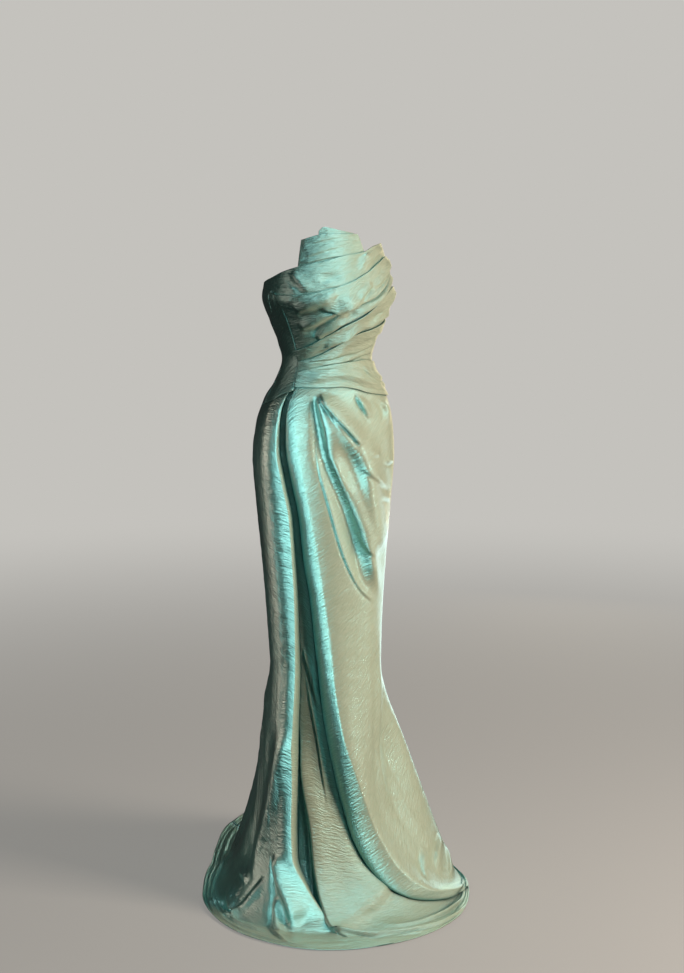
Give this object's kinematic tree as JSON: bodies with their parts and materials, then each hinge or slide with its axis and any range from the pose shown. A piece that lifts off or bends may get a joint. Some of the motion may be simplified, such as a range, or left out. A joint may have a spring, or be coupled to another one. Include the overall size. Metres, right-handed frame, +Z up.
{
  "type": "evening gown",
  "caption": "Strapless draped evening gown with a wrapped skirt and a train, hollow and filled out as worn, in shot taffeta.",
  "frame": {"origin": "centre of the waist, where the wearer holds the gown up, 1.2 m above the floor", "axes": "+Z up; the front looks along -Y; +X is the wearer's left"},
  "size_m": [0.6365, 0.8921, 1.473],
  "materials": {
    "taffeta": "shot taffeta, sage crossed with aqua"
  },
  "bodies": {
    "root": {"plastron_front": "taffeta", "plastron_flap": "taffeta", "swathe_upper": "taffeta", "swathe_middle": "taffeta", "swathe_lower": "taffeta", "midriff": "taffeta", "waist_sash": "taffeta", "bodice_side_right": "taffeta", "bodice_back_right": "taffeta", "bodice_back_left": "taffeta", "skirt_front_wrap": "taffeta", "skirt_under_front": "taffeta", "skirt_side_right": "taffeta", "skirt_back_left": "taffeta"}
  },
  "joints": []
}
